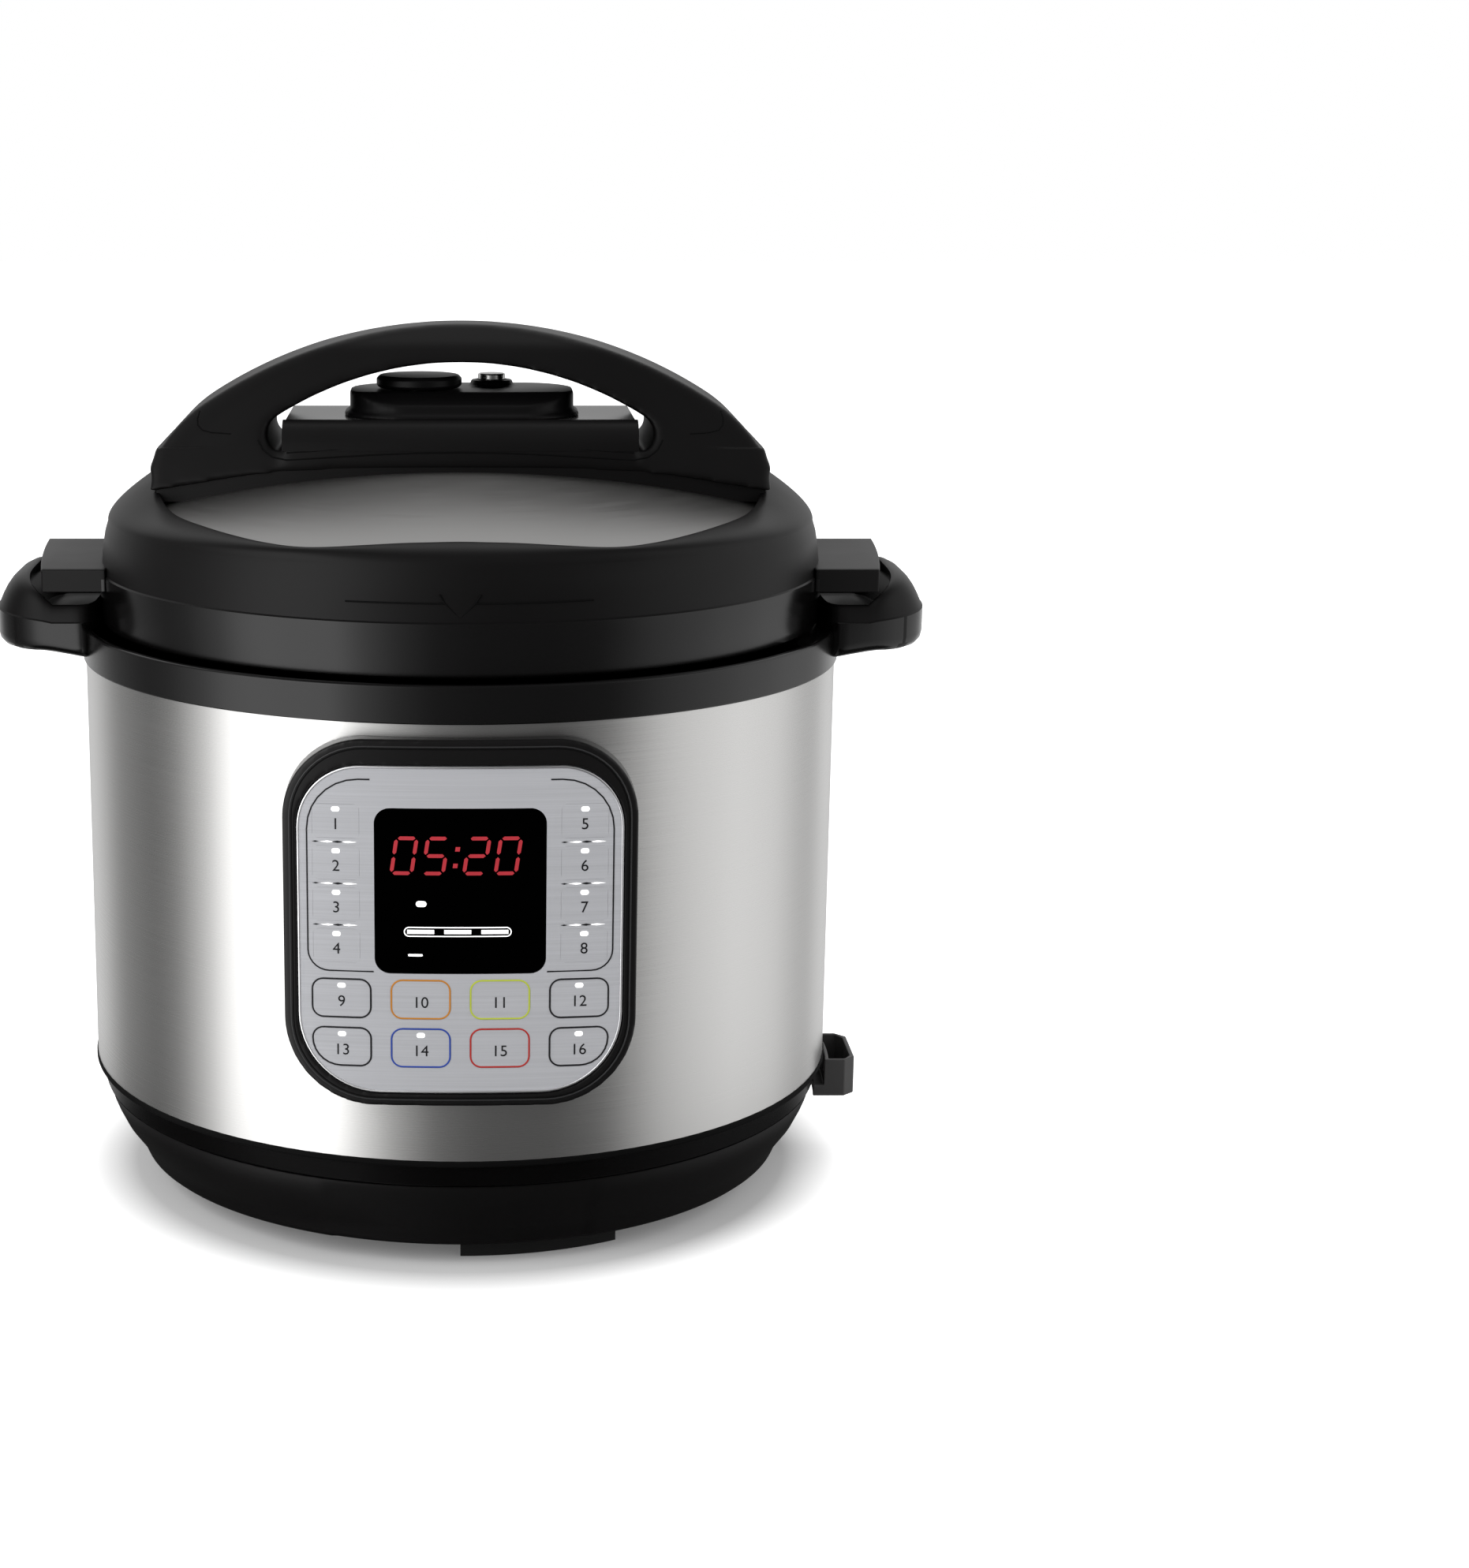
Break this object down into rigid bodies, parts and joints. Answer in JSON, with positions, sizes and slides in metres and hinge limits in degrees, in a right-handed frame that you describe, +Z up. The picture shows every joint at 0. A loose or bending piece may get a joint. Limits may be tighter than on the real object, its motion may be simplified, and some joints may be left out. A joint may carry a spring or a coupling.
{
  "type": "electric pressure cooker",
  "caption": "Round countertop electric pressure cooker with a bayonet lid, arched lid handle, steam valves, inner pot and front key panel.",
  "frame": {"origin": "middle of the pot's axis on the surface that the feet stand on", "axes": "+Z up along the pot's axis, -Y towards the control panel, +X towards the right side handle"},
  "size_m": [0.34, 0.285, 0.3169],
  "materials": {
    "satin_black_plastic": "fine satin texture, near black",
    "bezel_plastic": "smooth dark moulding",
    "knob_plastic": "satin black with a fine grain",
    "brushed_shell_steel": "satin stainless sheet, brushed round",
    "dome_steel": "satin pressed stainless sheet",
    "pot_steel": "polished stainless inside, satin outside",
    "pan_steel": "pressed stainless steel",
    "hardware_steel": "plain steel",
    "valve_steel": "turned and polished",
    "panel_silver": "silver film, brushed sideways",
    "key_silver": "silver film, brushed sideways",
    "display_glass": "smoked clear plastic",
    "display_board": "black display block",
    "circuit_board": "green board",
    "switch_plastic": "black switch body",
    "cast_aluminium": "cast and machined",
    "seal_silicone": "translucent silicone",
    "foot_rubber": "soft black rubber",
    "pin_brass": "nickel-plated contacts",
    "spring_steel": "spring wire"
  },
  "bodies": {
    "base": {"base_housing": "satin_black_plastic", "bottom_cover": "satin_black_plastic", "rubber_feet": "foot_rubber", "base_screws": "hardware_steel", "body_shell": "brushed_shell_steel", "top_rim": "satin_black_plastic", "outer_pot": "pan_steel", "bayonet_flange": "pan_steel", "heating_plate": "cast_aluminium", "heating_element": "hardware_steel", "sensor_spring": "spring_steel", "power_board": "circuit_board", "pressure_switch": "switch_plastic", "thermal_fuse": "switch_plastic", "power_inlet": "satin_black_plastic", "inlet_pins": "pin_brass", "panel_frame": "bezel_plastic", "control_panel": "panel_silver", "display_window": "display_glass", "display_module": "display_board", "control_board": "circuit_board", "key_switches": "switch_plastic", "side_handle_left": "satin_black_plastic", "side_handle_right": "satin_black_plastic"},
    "pot": {"inner_pot": "pot_steel"},
    "seal": {"sealing_ring": "seal_silicone"},
    "lid": {"lid_ring": "satin_black_plastic", "lid_dome": "dome_steel", "handle_grip": "satin_black_plastic", "handle_base": "satin_black_plastic", "valve_platform": "knob_plastic", "inner_lid": "pan_steel", "lid_screws": "hardware_steel", "ring_rack": "hardware_steel", "vent_pipe": "valve_steel", "anti_block_shield": "pan_steel"},
    "weight": {"vent_weight": "hardware_steel"},
    "knob": {"steam_release_knob": "knob_plastic"},
    "float": {"float_valve": "valve_steel", "float_cap": "seal_silicone"},
    "sensor": {"temperature_sensor": "cast_aluminium"},
    "cup": {"condensation_cup": "satin_black_plastic"},
    "key_01": {"key_01": "key_silver"},
    "key_02": {"key_02": "key_silver"},
    "key_03": {"key_03": "key_silver"},
    "key_04": {"key_04": "key_silver"},
    "key_05": {"key_05": "key_silver"},
    "key_06": {"key_06": "key_silver"},
    "key_07": {"key_07": "key_silver"},
    "key_08": {"key_08": "key_silver"},
    "key_09": {"key_09": "key_silver"},
    "key_10": {"key_10": "key_silver"},
    "key_11": {"key_11": "key_silver"},
    "key_12": {"key_12": "key_silver"},
    "key_13": {"key_13": "key_silver"},
    "key_14": {"key_14": "key_silver"},
    "key_15": {"key_15": "key_silver"},
    "key_16": {"key_16": "key_silver"}
  },
  "joints": [
    {"name": "pot_lift", "type": "slide", "parent": "base", "child": "pot", "axis": [0, 0, 1], "range_m": [0, 0.18]},
    {"name": "lid_lift", "type": "slide", "parent": "pot", "child": "seal", "axis": [0, 0, 1], "range_m": [0, 0.15]},
    {"name": "lid_turn", "type": "hinge", "parent": "seal", "child": "lid", "pos_m": [0, 0, 0.21], "axis": [0, 0, 1], "range_deg": [0, 30]},
    {"name": "vent_lift", "type": "slide", "parent": "lid", "child": "weight", "axis": [0, 0, 1], "range_m": [0, 0.0015]},
    {"name": "knob_turn", "type": "hinge", "parent": "weight", "child": "knob", "pos_m": [-0.015, 0, 0.294], "axis": [0, 0, 1], "range_deg": [0, 45]},
    {"name": "float_rise", "type": "slide", "parent": "lid", "child": "float", "axis": [0, 0, 1], "range_m": [0, 0.005]},
    {"name": "sensor_press", "type": "slide", "parent": "base", "child": "sensor", "axis": [0, 0, 1], "range_m": [-0.003, 0], "stiffness_N_per_m": 500, "springref_m": 0.002, "deforming": ["sensor_spring"]},
    {"name": "cup_pull", "type": "slide", "parent": "base", "child": "cup", "axis": [1, 0, 0], "range_m": [0, 0.05]},
    {"name": "press_01", "type": "slide", "parent": "base", "child": "key_01", "axis": [0, 1, 0], "range_m": [0, 0.0005], "stiffness_N_per_m": 2000, "springref_m": -0.0003},
    {"name": "press_02", "type": "slide", "parent": "base", "child": "key_02", "axis": [0, 1, 0], "range_m": [0, 0.0005], "stiffness_N_per_m": 2000, "springref_m": -0.0003},
    {"name": "press_03", "type": "slide", "parent": "base", "child": "key_03", "axis": [0, 1, 0], "range_m": [0, 0.0005], "stiffness_N_per_m": 2000, "springref_m": -0.0003},
    {"name": "press_04", "type": "slide", "parent": "base", "child": "key_04", "axis": [0, 1, 0], "range_m": [0, 0.0005], "stiffness_N_per_m": 2000, "springref_m": -0.0003},
    {"name": "press_05", "type": "slide", "parent": "base", "child": "key_05", "axis": [0, 1, 0], "range_m": [0, 0.0005], "stiffness_N_per_m": 2000, "springref_m": -0.0003},
    {"name": "press_06", "type": "slide", "parent": "base", "child": "key_06", "axis": [0, 1, 0], "range_m": [0, 0.0005], "stiffness_N_per_m": 2000, "springref_m": -0.0003},
    {"name": "press_07", "type": "slide", "parent": "base", "child": "key_07", "axis": [0, 1, 0], "range_m": [0, 0.0005], "stiffness_N_per_m": 2000, "springref_m": -0.0003},
    {"name": "press_08", "type": "slide", "parent": "base", "child": "key_08", "axis": [0, 1, 0], "range_m": [0, 0.0005], "stiffness_N_per_m": 2000, "springref_m": -0.0003},
    {"name": "press_09", "type": "slide", "parent": "base", "child": "key_09", "axis": [0, 1, 0], "range_m": [0, 0.0005], "stiffness_N_per_m": 2000, "springref_m": -0.0003},
    {"name": "press_10", "type": "slide", "parent": "base", "child": "key_10", "axis": [0, 1, 0], "range_m": [0, 0.0005], "stiffness_N_per_m": 2000, "springref_m": -0.0003},
    {"name": "press_11", "type": "slide", "parent": "base", "child": "key_11", "axis": [0, 1, 0], "range_m": [0, 0.0005], "stiffness_N_per_m": 2000, "springref_m": -0.0003},
    {"name": "press_12", "type": "slide", "parent": "base", "child": "key_12", "axis": [0, 1, 0], "range_m": [0, 0.0005], "stiffness_N_per_m": 2000, "springref_m": -0.0003},
    {"name": "press_13", "type": "slide", "parent": "base", "child": "key_13", "axis": [0, 1, 0], "range_m": [0, 0.0005], "stiffness_N_per_m": 2000, "springref_m": -0.0003},
    {"name": "press_14", "type": "slide", "parent": "base", "child": "key_14", "axis": [0, 1, 0], "range_m": [0, 0.0005], "stiffness_N_per_m": 2000, "springref_m": -0.0003},
    {"name": "press_15", "type": "slide", "parent": "base", "child": "key_15", "axis": [0, 1, 0], "range_m": [0, 0.0005], "stiffness_N_per_m": 2000, "springref_m": -0.0003},
    {"name": "press_16", "type": "slide", "parent": "base", "child": "key_16", "axis": [0, 1, 0], "range_m": [0, 0.0005], "stiffness_N_per_m": 2000, "springref_m": -0.0003}
  ]
}
